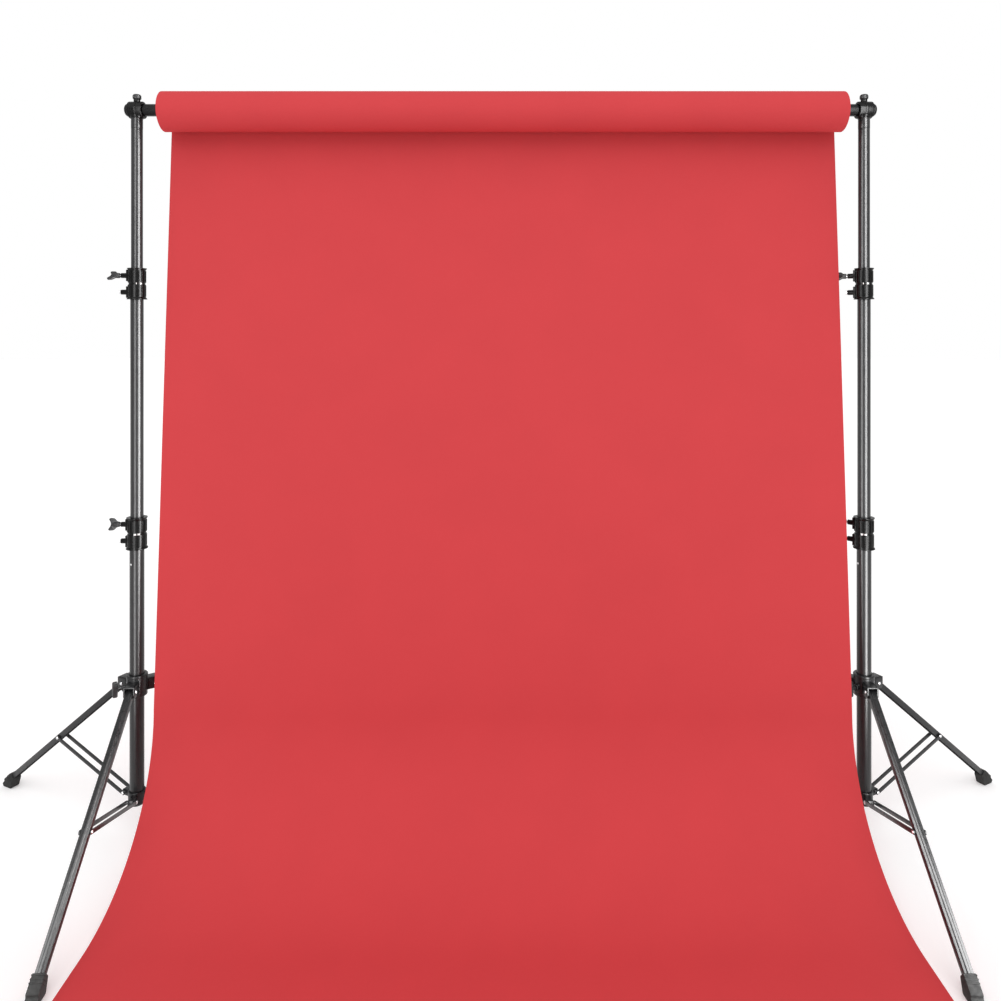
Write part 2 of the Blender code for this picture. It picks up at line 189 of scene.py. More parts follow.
def add_bump(material, value, depth, strength=1.0):
    bump = node(material, "ShaderNodeBump")
    bump.inputs["Distance"].default_value = depth
    bump.inputs["Strength"].default_value = strength
    link(material, value, bump.inputs["Height"])
    link(material, bump.outputs["Normal"], shader_of(material).inputs["Normal"])


def shaded(colour, factor):
    return tuple(channel * factor for channel in colour)


PAPER_RED = (0.600, 0.057, 0.064)


def red_paper():
    material = base_material("red_paper", PAPER_RED, 0.85, specular=0.12)
    vary_colour(material, noise_of(material, 9, 4), shaded(PAPER_RED, 0.985), shaded(PAPER_RED, 1.015))
    vary_roughness(material, noise_of(material, 160, 4), 0.80, 0.92)
    add_bump(material, noise_of(material, 1400, 4, (0.5, 1.0, 1.0)), 0.00005, 0.5)
    return material


def radius_about_roll(material):
    """The distance from the roll's axis, for patterns on its round ends."""
    place = node(material, "ShaderNodeTexCoord")
    flat = node(material, "ShaderNodeVectorMath", operation="MULTIPLY_ADD")
    flat.inputs[1].default_value = (0.0, 1.0, 1.0)
    flat.inputs[2].default_value = (0.0, -ROLL.y, -ROLL.z)
    length = node(material, "ShaderNodeVectorMath", operation="LENGTH")
    link(material, place.outputs["Object"], flat.inputs[0])
    link(material, flat.outputs["Vector"], length.inputs[0])
    return length.outputs["Value"]


def rings_of(material, pitch):
    """Concentric waves about the roll's axis, one for each pitch of radius."""
    turns = node(material, "ShaderNodeMath", operation="MULTIPLY")
    turns.inputs[1].default_value = 2 * math.pi / pitch
    wave = node(material, "ShaderNodeMath", operation="SINE")
    link(material, radius_about_roll(material), turns.inputs[0])
    link(material, turns.outputs["Value"], wave.inputs[0])
    return wave.outputs["Value"]


def paper_layers():
    """The roll's round ends, where the cut edges of the wound paper show."""
    material = base_material("paper_layers", PAPER_RED, 0.9, specular=0.2)
    rings = rings_of(material, 0.0011)
    dark, light = shaded(PAPER_RED, 0.66), shaded(PAPER_RED, 1.02)
    vary_colour(material, ranged(material, rings, 0, 1, -1, 1), dark, light, 0, 1)
    add_bump(material, rings, 0.00008, 0.7)
    return material


def core_board():
    """Grey-brown wound board, with the seams of its spiral plies."""
    material = base_material("core_board", (0.40, 0.28, 0.17), 0.9, specular=0.25)
    place = node(material, "ShaderNodeTexCoord")
    plies = node(material, "ShaderNodeTexWave", wave_type="BANDS", bands_direction="DIAGONAL")
    plies.inputs["Scale"].default_value = 14.0
    plies.inputs["Distortion"].default_value = 0.6
    link(material, place.outputs["Object"], plies.inputs["Vector"])
    vary_colour(material, plies.outputs["Fac"], (0.31, 0.205, 0.12), (0.43, 0.30, 0.185), 0.05, 0.35)
    add_bump(material, noise_of(material, 1800, 4), 0.00008, 0.5)
    return material


def black_tube(name, along_x):
    """Dark anodised tube with faint drawing marks along its length."""
    stretch = (0.02, 1.0, 1.0) if along_x else (1.0, 1.0, 0.02)
    gloss = 0.16 if along_x else 0.42
    material = base_material(name, (0.014, 0.014, 0.015), 0.30, specular=gloss)
    marks = noise_of(material, 1500, 3, stretch)
    deep = 0.35 if along_x else 1.0
    dark, light = shaded((0.010, 0.010, 0.011), deep), shaded((0.017, 0.017, 0.018), deep)
    vary_colour(material, noise_of(material, 60, 4), dark, light)
    vary_roughness(material, marks, 0.26, 0.33)
    add_bump(material, marks, 0.000005, 0.15)
    return material


def black_steel():
    """Powder-coated steel, with the coat's fine pebbling and rubbed patches."""
    material = base_material("black_steel", (0.010, 0.010, 0.011), 0.4, specular=0.35)
    vary_colour(material, noise_of(material, 45, 5), (0.008, 0.008, 0.009), (0.014, 0.014, 0.015))
    vary_roughness(material, noise_of(material, 120, 4), 0.24, 0.38)
    add_bump(material, noise_of(material, 1600, 2), 0.00003, 0.30)
    return material


def collar_plastic():
    """Glossy black moulding with a faint flow pattern."""
    material = base_material("collar_plastic", (0.004, 0.004, 0.004), 0.2, specular=0.13)
    vary_colour(material, noise_of(material, 70, 4), (0.003, 0.003, 0.003), (0.006, 0.006, 0.006))
    vary_roughness(material, noise_of(material, 220, 4), 0.15, 0.27)
    add_bump(material, noise_of(material, 420, 2), 0.00004, 0.25)
    return material


def knob_plastic():
    """Matte black moulding with a spark-eroded grain."""
    material = base_material("knob_plastic", (0.012, 0.012, 0.013), 0.45, specular=0.35)
    vary_colour(material, noise_of(material, 90, 4), (0.010, 0.010, 0.011), (0.016, 0.016, 0.017))
    vary_roughness(material, noise_of(material, 300, 4), 0.38, 0.54)
    add_bump(material, noise_of(material, 2400, 2), 0.00006, 0.5)
    return material


def bright_steel():
    """Zinc-plated screws, studs and rivets."""
    material = base_material("steel_screw", (0.72, 0.72, 0.73), 0.25, metallic=1.0)
    vary_colour(material, noise_of(material, 500, 4), (0.62, 0.62, 0.63), (0.80, 0.80, 0.81))
    vary_roughness(material, noise_of(material, 1200, 3), 0.18, 0.34)
    add_bump(material, noise_of(material, 2600, 2), 0.00002, 0.3)
    return material


def black_rubber():
    material = base_material("rubber", (0.016, 0.016, 0.016), 0.8, specular=0.3)
    vary_colour(material, noise_of(material, 110, 5), (0.012, 0.012, 0.012), (0.028, 0.028, 0.027))
    vary_roughness(material, noise_of(material, 200, 4), 0.70, 0.90)
    add_bump(material, noise_of(material, 1300, 3), 0.00008, 0.6)
    return material


def white_mark():
    """The pale pads that show through a collar's inspection slots."""
    material = base_material("white_mark", (0.86, 0.86, 0.85), 0.4)
    vary_colour(material, noise_of(material, 700, 4), (0.74, 0.74, 0.73), (0.92, 0.92, 0.91))
    add_bump(material, noise_of(material, 1800, 2), 0.00002, 0.3)
    return material


PAPER = red_paper()
LAYERS = paper_layers()
BOARD = core_board()
BAR_TUBE = black_tube("black_tube_bar", True)
STAND_TUBE = black_tube("black_tube_stand", False)
STEEL = black_steel()
COLLAR = collar_plastic()
KNOB = knob_plastic()
BRIGHT = bright_steel()
RUBBER = black_rubber()
MARK = white_mark()


# ---- Mesh parts: each is a bmesh of its own ----


def spin_z(degrees):
    return Matrix.Rotation(math.radians(degrees), 4, "Z")


def tilt_y(degrees):
    return Matrix.Rotation(math.radians(degrees), 4, "Y")


def shift(x, y, z):
    return Matrix.Translation((x, y, z))


ALONG_X = tilt_y(90)
ALONG_Y = Matrix.Rotation(math.radians(-90), 4, "X")


def rounded(points, radius, steps=3, closed=True):
    """The outline with each corner rounded; open outlines keep their two ends."""
    points = [Vector(p) for p in points]
    result = []
    for i, corner in enumerate(points):
        if not closed and i in (0, len(points) - 1):
            result.append(corner)
            continue
        before, after = points[i - 1], points[(i + 1) % len(points)]
        cut = min(radius, 0.45 * (before - corner).length, 0.45 * (after - corner).length)
        start = corner + (before - corner).normalized() * cut
        end = corner + (after - corner).normalized() * cut
        for k in range(steps + 1):
            t = k / steps
            result.append(start * (1 - t) ** 2 + corner * 2 * t * (1 - t) + end * t * t)
    return [tuple(p) for p in result]


def lathe(profile, segments=64, closed=True):
    """A profile of (radius, height) points turned about Z; a closed one makes a ring."""
    bm = bmesh.new()
    rings = []
    for radius, height in profile:
        if radius < 1e-6:
            rings.append([bm.verts.new((0, 0, height))])
            continue
        turn = [2 * math.pi * i / segments for i in range(segments)]
        rings.append([bm.verts.new((radius * math.cos(a), radius * math.sin(a), height)) for a in turn])
    pairs = list(zip(rings, rings[1:]))
    if closed:
        pairs.append((rings[-1], rings[0]))
    for low, high in pairs:
        for i in range(segments):
            j = (i + 1) % segments
            corners = [low[i % len(low)], low[j % len(low)], high[j % len(high)], high[i % len(high)]]
            face = list(dict.fromkeys(corners))
            if len(face) > 2:
                bm.faces.new(face)
    bmesh.ops.recalc_face_normals(bm, faces=bm.faces)
    return bm


def rod(radius, z0, z1, edge=0.0004, segments=28):
    """A solid round bar along Z with rounded rims."""
    profile = rounded([(0, z0), (radius, z0), (radius, z1), (0, z1)], edge, closed=False)
    return lathe(profile, segments, closed=False)


def pipe(outer, inner, z0, z1, edge=0.0003, segments=72):
    """A hollow round tube along Z with rounded rims."""
    return lathe(rounded([(outer, z0), (outer, z1), (inner, z1), (inner, z0)], edge), segments)


def dome(radius, height, base, segments=24):
    """A domed rivet head along Z that stands on base."""
    steps = 6
    arc = [math.pi / 2 * k / steps for k in range(steps + 1)]
    profile = [(0, base - 0.0004), (radius, base - 0.0004)]
    profile += [(radius * math.cos(a), base + height * math.sin(a)) for a in arc[:-1]]
    profile.append((0, base + height))
    return lathe(profile, segments, closed=False)


def soften(bm, offset, segments=2, above=30):
    """Bevel every edge that is sharper than above, in degrees."""
    bmesh.ops.recalc_face_normals(bm, faces=bm.faces)
    sharp = [e for e in bm.edges if len(e.link_faces) == 2 and e.calc_face_angle(0.0) > math.radians(above)]
    bmesh.ops.bevel(
        bm, geom=sharp, offset=offset, segments=segments, profile=0.6, affect="EDGES", clamp_overlap=True
    )
    return bm


def prism(outline, depth, edge=0.0005):
    """An outline in XZ, as thick as depth along Y, with rounded rims."""
    bm = bmesh.new()
    near = [bm.verts.new((x, -depth / 2, z)) for x, z in outline]
    far = [bm.verts.new((x, depth / 2, z)) for x, z in outline]
    bm.faces.new(near)
    bm.faces.new(far)
    for i in range(len(outline)):
        j = (i + 1) % len(outline)
        bm.faces.new([near[i], near[j], far[j], far[i]])
    return soften(bm, edge)


def block(x0, x1, y0, y1, z0, z1, edge=0.0006):
    bm = prism([(x0, z0), (x1, z0), (x1, z1), (x0, z1)], y1 - y0, edge)
    return moved(bm, shift(0, (y0 + y1) / 2, 0))


def moved(bm, *matrices):
    """The part after the matrices, of which the first acts last."""
    whole = Matrix.Identity(4)
    for matrix in matrices:
        whole = whole @ matrix
    bm.transform(whole)
    return bm


def piece(name, body, nodes, parts, place=None):
    """One object made of (part, material) pairs; it rides on body and stands for nodes."""
    whole = bmesh.new()
    materials = []
    for part, material in parts:
        if material not in materials:
            materials.append(material)
        for face in part.faces:
            face.material_index = materials.index(material)
        if place is not None:
            part.transform(place)
        carrier = bpy.data.meshes.new("part")
        part.to_mesh(carrier)
        part.free()
        whole.from_mesh(carrier)
        bpy.data.meshes.remove(carrier)
    mesh = bpy.data.meshes.new(name)
    whole.to_mesh(mesh)
    whole.free()
    for material in materials:
        mesh.materials.append(material)
    mesh.shade_smooth()
    mesh.set_sharp_from_angle(angle=math.radians(40))
    obj = bpy.data.objects.new(name, mesh)
    bpy.context.scene.collection.objects.link(obj)
    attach(obj, body)
    if nodes:
        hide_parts(*nodes)
    return obj


# ---- Crossbar and roll ----


def crossbar():
    bore = BAR_R - BAR_WALL
    axis = shift(ROLL.x, BAR.y, BAR.z) @ ALONG_X
    low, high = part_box("crossbar_left"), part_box("crossbar_right")
    left_end, right_end = low[0].x - ROLL.x, high[1].x - ROLL.x
    left = pipe(BAR_R, bore, left_end, BAR_JOIN_X)
    piece("bar_left", "crossbar_frame", ["crossbar_left"], [(left, BAR_TUBE)], axis)
    right = pipe(BAR_R, bore, BAR_JOIN_X + GAP, right_end)
    spigot = pipe(bore - GAP, bore - 0.0015, BAR_JOIN_X - 0.06, BAR_JOIN_X + 0.02)
    piece(
        "bar_right", "crossbar_frame", ["crossbar_right"],
        [(right, BAR_TUBE), (spigot, BAR_TUBE)], axis,
    )


def end_caps():
    """Domed plastic plugs in the crossbar's ends."""
    plug = BAR_R - BAR_WALL - GAP
    for side, end, outward in (("left", 0, -1), ("right", 1, 1)):
        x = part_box(f"crossbar_{side}")[end].x
        profile = rounded(
            [
                (0, -0.010), (plug, -0.010), (plug, GAP), (BAR_R + 0.0006, GAP), (BAR_R + 0.0006, 0.0034),
                (BAR_R - 0.0020, 0.0066), (BAR_R - 0.0070, 0.0078), (0, 0.0080),
            ],
            0.0012, 4, closed=False,
        )
        cap = lathe(profile, 48, closed=False)
        place = shift(x, BAR.y, BAR.z) @ tilt_y(90 * outward)
        piece(f"{side}_cap", "crossbar_frame", [f"{side}_end_cap"], [(cap, COLLAR)], place)


def roll():
    """The wound paper: a smooth outer turn, and slightly uneven turns at the ends."""
    axis = shift(ROLL.x, ROLL.y, ROLL.z) @ ALONG_X
    skin_thick = 0.0008
    skin = pipe(ROLL_R, ROLL_R - skin_thick, -PAPER_HALF, PAPER_HALF, 0.0003, 144)
    chance = random.Random(7)
    inner, turns = CORE_OUT_R + GAP, 26
    step = (ROLL_R - skin_thick - GAP - inner) / turns
    face = []
    for i in range(turns):
        proud = PAPER_HALF - 0.0008 * chance.random() ** 2
        start = inner + step * i
        face += [(start, proud), (start + 0.82 * step, proud), (start + 0.91 * step, proud - 0.0007)]
    layers = lathe([(radius, -height) for radius, height in reversed(face)] + face, 96)
    piece("paper_wound", "paper_roll", ["wound_paper"], [(skin, PAPER), (layers, LAYERS)], axis)
    tube = pipe(CORE_OUT_R, CORE_IN_R, -CORE_HALF, CORE_HALF, 0.0004, 96)
    piece("core_tube", "paper_roll", ["cardboard_core"], [(tube, BOARD)], axis)


# ---- The hanging paper ----


def sheet_line():
    """The paper's middle as (y, z) points about the roll: over the roll's back, down, round and forward."""
    reach = ROLL_R + GAP + SHEET_THICK
    points = []
    wrap_steps = 16
    for i in range(wrap_steps):
        a = math.radians(75) * (1 - i / wrap_steps)
        points.append((reach * math.cos(a), ROLL.z + reach * math.sin(a)))
    hang_steps = 60
    top, low = (reach, ROLL.z), (SHEET_LOW_Y, SWEEP_R)
    for i in range(hang_steps):
        t = i / hang_steps
        points.append((top[0] + (low[0] - top[0]) * t, top[1] + (low[1] - top[1]) * t))
    sweep_steps = 32
    middle_r = SWEEP_R - SHEET_THICK / 2
    for i in range(sweep_steps + 1):
        a = math.pi / 2 * i / sweep_steps
        points.append((SHEET_LOW_Y - middle_r * (1 - math.cos(a)), SWEEP_R - middle_r * math.sin(a)))
    floor_steps = 24
    flat_y = points[-1][0]
    for i in range(1, floor_steps + 1):
        points.append((flat_y + (SHEET_FRONT_Y - flat_y) * i / floor_steps, points[-1][1]))
    return points


def paper_sheet():
    """A thin closed sheet along sheet_line, with faint waves where it hangs free."""
    line = sheet_line()
    across = 72
    bm = bmesh.new()
    layers = []
    for offset in (-0.5, 0.5):
        grid = []
        for i, (y, z) in enumerate(line):
            before, after = line[max(i - 1, 0)], line[min(i + 1, len(line) - 1)]
            along = Vector((0, after[0] - before[0], after[1] - before[1])).normalized()
            out = Vector((1, 0, 0)).cross(along)
            free = min(1.0, max(0.0, (ROLL.z - 0.06 - z) / 0.3)) * min(1.0, max(0.0, (z - 0.02) / 0.3))
            row = []
            for k in range(across + 1):
                x = PAPER_HALF * (2 * k / across - 1)
                wave = 0.0011 * noise.noise(Vector((2.1 * x, 1.3 * z, 4.0)))
                wave += 0.0007 * noise.noise(Vector((6.0 * x, 2.2 * z, 9.0)))
                middle_point = Vector((ROLL.x + x, ROLL.y + y, z)) + out * (wave * free)
                row.append(bm.verts.new(middle_point + out * (offset * SHEET_THICK)))
            grid.append(row)
        layers.append(grid)
    last = len(line) - 1
    for grid in layers:
        for i in range(last):
            for k in range(across):
                bm.faces.new([grid[i][k], grid[i][k + 1], grid[i + 1][k + 1], grid[i + 1][k]])
    under, over = layers
    rim = [(i, 0) for i in range(last)] + [(last, k) for k in range(across)]
    rim += [(i, across) for i in range(last, 0, -1)] + [(0, k) for k in range(across, 0, -1)]
    for (i, k), (m, n) in zip(rim, rim[1:] + rim[:1]):
        bm.faces.new([under[i][k], under[m][n], over[m][n], over[i][k]])
    bmesh.ops.recalc_face_normals(bm, faces=bm.faces)
    sheet = piece("hanging_paper", "crossbar_frame", ["paper_sheet"], [(bm, PAPER)])


# ---- Columns ----


def columns(side):
    """Three telescopic tubes; the lower ones end inside their collars."""
    base = shift(COLUMN[side].x, COLUMN[side].y, 0)
    sections = (
        ("lower", f"{side}_base", LOWER_R, LOWER_IN),
        ("middle", f"{side}_mast", MIDDLE_R, MIDDLE_IN),
        ("upper", "crossbar_frame", UPPER_R, UPPER_IN),
    )
    for level, body, outer, inner in sections:
        low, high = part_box(f"{side}_{level}_tube")
        parts = [(pipe(outer, inner, low.z, high.z), STAND_TUBE)]
        if level == "lower":
            head = dome(0.0021, STOP_RIVET_PROUD, outer)
            stop = moved(head, shift(0, 0, STOP_RIVET_Z), spin_z(MARK_TURN[side] - 54), ALONG_X)
            parts.append((stop, BRIGHT))
        piece(f"{side}_{level}_column", body, [f"{side}_{level}_tube"], parts, base)


def collar(side, level, body, body_r, outer_r, inner_r):
    """A moulded clamp collar: flanged ends, flutes, a seam, two bosses and pale inspection pads."""
    z = middle(f"{side}_{level}_collar").z
    flange, groove, half = 0.0026, 0.0013, COLLAR_HALF
    low, high = outer_r + GAP, inner_r + GAP
    profile = [
        (low, -half), (body_r + flange, -half), (body_r + flange, -half + 0.0011), (body_r, -half + 0.0045),
        (body_r, -0.0016), (body_r - groove, -0.0008), (body_r - groove, 0.0008), (body_r - 0.0004, 0.0016),
        (body_r - 0.0004, half - 0.0045), (body_r + flange - 0.0008, half - 0.0011),
        (body_r + flange - 0.0008, half), (high, half), (high, 0.0010), (low, 0.0007),
    ]
    parts = [(lathe(rounded(profile, 0.0005, 2), 72), COLLAR)]
    for height in (BOSS_HEIGHT, -BOSS_HEIGHT):
        boss_profile = [
            (0.0022, body_r - 0.003), (0.0072, body_r - 0.003), (0.0068, body_r + 0.0006),
            (0.0052, body_r + 0.0030), (0.0050, BOSS_END_R), (0.0022, BOSS_END_R),
        ]
        boss = lathe(rounded(boss_profile, 0.0006, 2), 32)
        parts.append((moved(boss, shift(0, 0, height), ALONG_X), COLLAR))
        cheek = block(0.004, body_r + 0.0030, -0.0062, 0.0062, -0.0115, 0.0115, 0.0012)
        parts.append((moved(cheek, shift(0, 0, height)), COLLAR))
    for angle in range(30, 331, 20):
        for span in ((-half + 0.0055, -0.0030), (0.0030, half - 0.0055)):
            rib = block(body_r - 0.0010, body_r + 0.0006, -0.0011, 0.0011, *span, 0.0004)
            parts.append((moved(rib, spin_z(angle)), COLLAR))
    pads = ((26, 0.0042), (-4, 0.0018)) if level == "upper" else ((-12, 0.0046), (10, 0.0046))
    for angle, width in pads:
        mark = block(body_r - 0.0030, body_r + 0.0002, -width / 2, width / 2, -0.0018, 0.0018, 0.0004)
        parts.append((moved(mark, spin_z(MARK_TURN[side] + angle - KNOB_TURN[side])), MARK))
    place = shift(COLUMN[side].x, COLUMN[side].y, z) @ spin_z(KNOB_TURN[side])
    piece(f"{side}_{level}_clamp", body, [f"{side}_{level}_collar"], parts, place)


def wing_knob(side, level, inner_r, roll_angle):
    """A wing-shaped thumb knob with a round hub, on its bright screw."""
    name = f"{side}_{level}_knob"
    wing = [
        (0.0005, -0.0045), (0.006, -0.0060), (0.012, -0.0118), (0.020, -0.0124), (0.0225, -0.0100),
        (0.0185, -0.0040), (0.0175, 0.0), (0.0185, 0.0040), (0.0225, 0.0100), (0.020, 0.0124),
        (0.012, 0.0118), (0.006, 0.0060), (0.0005, 0.0045),
    ]
    paddle = prism(rounded(wing, 0.0016), 0.0042, 0.0012)
    hub_profile = [
        (0, 0.0), (0.0046, 0.0), (0.0052, 0.0012), (0.0052, 0.0050),
        (0.0046, 0.0110), (0.0030, 0.0150), (0, 0.0150),
    ]
    round_hub = lathe(rounded(hub_profile, 0.0006, closed=False), 32, closed=False)
    reach = JOINTS[name + "_turn"]["pos_m"]
    column = COLUMN[side]
    head_r = math.hypot(reach[0] - column.x, reach[1] - column.y)
    screw = rod(0.0020, inner_r + 0.0006 - head_r, 0.002)
    parts = [
        (moved(paddle, Matrix.Rotation(math.radians(roll_angle), 4, "X")), KNOB),
        (moved(round_hub, ALONG_X), KNOB),
        (moved(screw, ALONG_X), BRIGHT),
    ]
    place = shift(*reach) @ spin_z(KNOB_TURN[side])
    piece(f"{side}_{level}_wing", name, [name], parts, place)


def bar_holder(side):
    """The socket on the column's top, the round sleeve about the crossbar's end, and its knob."""
    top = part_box(f"{side}_upper_tube")[1].z
    place = shift(COLUMN[side].x, BAR.y, BAR.z)
    stud_profile = [
        (0, -0.025), (UPPER_IN - GAP, -0.025), (UPPER_IN - GAP, GAP), (UPPER_R - 0.0006, GAP),
        (UPPER_R - 0.0006, 0.004), (0.0080, 0.004), (0.0080, 0.0200), (0, 0.0200),
    ]
    stud = lathe(rounded(stud_profile, 0.0005, closed=False), 40, closed=False)
    stud_place = shift(COLUMN[side].x, COLUMN[side].y, top)
    piece(f"{side}_stud", "crossbar_frame", [f"{side}_top_stud"], [(stud, BRIGHT)], stud_place)
    bore, sleeve_r, half = BAR_R + GAP, 0.0168, 0.0145
    sleeve_profile = [(sleeve_r, -half), (sleeve_r, half), (bore, half), (bore, -half)]
    sleeve = lathe(rounded(sleeve_profile, 0.0042, 6), 72)
    band = pipe(sleeve_r + 0.0007, bore + 0.001, -0.0030, 0.0030, 0.0005)
    socket = pipe(UPPER_R + 0.0002, 0.0083, top + GAP - BAR.z, -0.0136, 0.0002)
    shoulder_profile = [(0.0116, -0.0172), (0.0146, -0.0110), (0.0085, -0.0110), (0.0085, -0.0172)]
    shoulder = lathe(rounded(shoulder_profile, 0.0008), 48)
    boss = rod(0.0062, 0.0150, 0.0205)
    parts = [(moved(sleeve, ALONG_X), COLLAR), (moved(band, ALONG_X), COLLAR)]
    parts += [(socket, STAND_TUBE), (shoulder, COLLAR), (boss, COLLAR)]
    piece(f"{side}_holder", "crossbar_frame", [f"{side}_bar_holder"], parts, place)
    head_profile = [
        (0, 0.0208), (0.0060, 0.0208), (0.0078, 0.0225), (0.0078, 0.0290), (0.0062, 0.0310), (0, 0.0310),
    ]
    head = lathe(rounded(head_profile, 0.0009, closed=False), 48, closed=False)
    parts = [(head, KNOB), (rod(0.0020, 0.0125, 0.0215), BRIGHT)]
    for i in range(12):
        grip = block(0.0070, 0.0081, -0.0008, 0.0008, 0.0228, 0.0287, 0.0003)
        parts.append((moved(grip, spin_z(30 * i)), KNOB))
    piece(f"{side}_clamp_knob", f"{side}_holder_knob", [f"{side}_holder_knob"], parts, place)


# ---- Folding legs ----


def base_place(side, z):
    return shift(COLUMN[side].x, COLUMN[side].y, z)


def leg_slope():
    """How steeply a leg runs down, in degrees, and how long it is."""
    run, drop = FOOT_R - PIVOT_R, PIVOT_Z - FOOT_Z
    return math.degrees(math.atan2(drop, run)), math.hypot(run, drop)


def leg_collar(side):
    """A sliding ring with a folded clevis for each leg, and a boss for the lock knob."""
    parts = [(pipe(0.0195, LOWER_R + GAP, -0.0190, 0.0230, 0.0012), STEEL)]
    parts.append((pipe(0.0203, 0.0185, 0.0188, 0.0216, 0.0006), STEEL))
    front, back = PIVOT_R + 0.0095, PIVOT_R - 0.0112
    cheek_outline = [
        (0.0165, -0.0100), (front - 0.0030, -0.0100), (front, -0.0050), (front, 0.0125), (0.0165, 0.0125),
    ]
    for turn in LEG_TURN[side]:
        for sign in (-1, 1):
            cheek = prism(rounded(cheek_outline, 0.0018), CLEVIS_HALF - CLEVIS_SLOT_HALF, 0.0005)
            offset = sign * (CLEVIS_HALF + CLEVIS_SLOT_HALF) / 2
            parts.append((moved(cheek, spin_z(turn), shift(0, offset, 0)), STEEL))
        roof = block(0.0165, front, -CLEVIS_HALF, CLEVIS_HALF, 0.0100, 0.0125, 0.0007)
        web = block(0.0165, back, -CLEVIS_HALF, CLEVIS_HALF, -0.0100, 0.0120, 0.0006)
        parts += [(moved(roof, spin_z(turn)), STEEL), (moved(web, spin_z(turn)), STEEL)]
    boss_profile = [
        (0.0026, 0.0175), (0.0070, 0.0175), (0.0062, 0.0215), (0.0062, 0.0270), (0.0026, 0.0270),
    ]
    boss = lathe(rounded(boss_profile, 0.0005), 36)
    parts.append((moved(boss, spin_z(LOCK_TURN[side]), ALONG_X), STEEL))
    name = f"{side}_leg_collar"
    piece(f"{side}_clevis_ring", name, [name], parts, base_place(side, PIVOT_Z))


def lock_knob(side):
    bar = [
        (0.0090, -0.0150), (0.0160, -0.0150), (0.0175, -0.0130), (0.0175, 0.0130),
        (0.0160, 0.0150), (0.0090, 0.0150), (0.0078, 0.0130), (0.0078, -0.0130),
    ]
    parts = [
        (prism(rounded(bar, 0.0022), 0.0080, 0.0022), KNOB),
        (moved(rod(0.0036, 0.0, 0.0120), ALONG_X), KNOB),
        (moved(rod(0.0020, -0.0130, 0.0020), ALONG_X), BRIGHT),
    ]
    name = f"{side}_lock_knob"
    place = shift(*JOINTS[name + "_turn"]["pos_m"]) @ spin_z(LOCK_TURN[side])
    piece(f"{side}_lock_bar", name, [name], parts, place)


def hub(side):
    """The cup at the column's foot, with a rounded tongue for each pair of brace bars."""
    low = 0.0580 - HUB_Z
    floor_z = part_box(f"{side}_lower_tube")[0].z - GAP - HUB_Z
    inner = LOWER_R + GAP
    cup = [
        (0.0040, low + 0.0050), (0.0135, low + 0.0050), (0.0164, low + 0.0090), (0.0164, 0.0095),
        (inner, 0.0095), (inner, floor_z), (0.0040, floor_z),
    ]
    parts = [(lathe(rounded(cup, 0.0010), 64), STEEL)]
    end = HUB_R + 0.0060
    tongue_outline = rounded([(0.0120, -0.0062), (end, -0.0062), (end, 0.0062), (0.0120, 0.0062)], 0.0052, 5)
    for turn in LEG_TURN[side]:
        parts.append((moved(prism(tongue_outline, 0.0110, 0.0006), spin_z(turn)), STEEL))
    piece(f"{side}_hub_cup", f"{side}_base", [f"{side}_hub"], parts, base_place(side, HUB_Z))


def rivets(half_grip, x=0.0):
    """A bright domed head on each side of a joint, half_grip from its middle."""
    parts = []
    for turn in (0, 180):
        head = moved(dome(RIVET_R, 0.0014, half_grip), ALONG_Y)
        parts.append((moved(head, shift(x, 0, 0), spin_z(turn)), BRIGHT))
    return parts


def leg(side, number):
    """A ribbed channel, open underneath, with its pin and rivet heads; foot() makes its rubber boot."""
    slope, length = leg_slope()
    half, high = LEG_WIDTH / 2, LEG_HEIGHT / 2
    inner, roof = half - LEG_WALL, high - LEG_WALL
    section = [
        (-half, -high), (-half, high), (-0.0028, high), (-0.0022, high + 0.0012), (0.0022, high + 0.0012),
        (0.0028, high), (half, high), (half, -high), (inner, -high), (inner, roof),
        (-inner, roof), (-inner, -high),
    ]
    start, end = -0.0060, length
    channel = prism(rounded(section, 0.0012, 3), end - start, 0.0003)
    channel = moved(channel, shift((start + end) / 2, 0, 0), spin_z(-90))
    pin = moved(rod(PIN_R, -CLEVIS_HALF - GAP, CLEVIS_HALF + GAP), ALONG_Y)
    turn = LEG_TURN[side][number - 1]
    place = base_place(side, 0) @ spin_z(turn) @ shift(PIVOT_R, 0, PIVOT_Z) @ tilt_y(slope)
    name = f"{side}_leg_{number}"
    parts = [(channel, STEEL), (pin, BRIGHT), *rivets(CLEVIS_HALF)]
    piece(name + "_channel", name, [name], parts, place)


def foot(side, number):
    """A ridged rubber boot over the leg's end, flat underneath."""
    slope, _ = leg_slope()
    t = math.radians(slope)
    along = Vector((math.cos(t), -math.sin(t)))
    up = Vector((math.sin(t), math.cos(t)))
    half = LEG_HEIGHT / 2 + 0.0022
    outline = [
        -0.024 * along - half * up, Vector((-0.016, -FOOT_Z)), Vector((0.009, -FOOT_Z)),
        Vector((0.013, -0.007)), 0.005 * along + 0.5 * half * up, 0.003 * along + half * up,
        -0.024 * along + half * up,
    ]
    width = LEG_WIDTH + 0.0046
    parts = [(prism(rounded(outline, 0.0022, 4), width, 0.0014), RUBBER)]
    side_y = width / 2 + 0.0004
    for start in (-0.0225, -0.0175, -0.0125):
        band = block(start, start + 0.0022, -side_y, side_y, -half + 0.001, half + 0.0006, 0.0005)
        parts.append((moved(band, tilt_y(slope)), RUBBER))
    turn = LEG_TURN[side][number - 1]
    place = base_place(side, 0) @ spin_z(turn) @ shift(FOOT_R, 0, FOOT_Z)
    name = f"{side}_foot_{number}"
    piece(name + "_boot", f"{side}_leg_{number}", [name], parts, place)


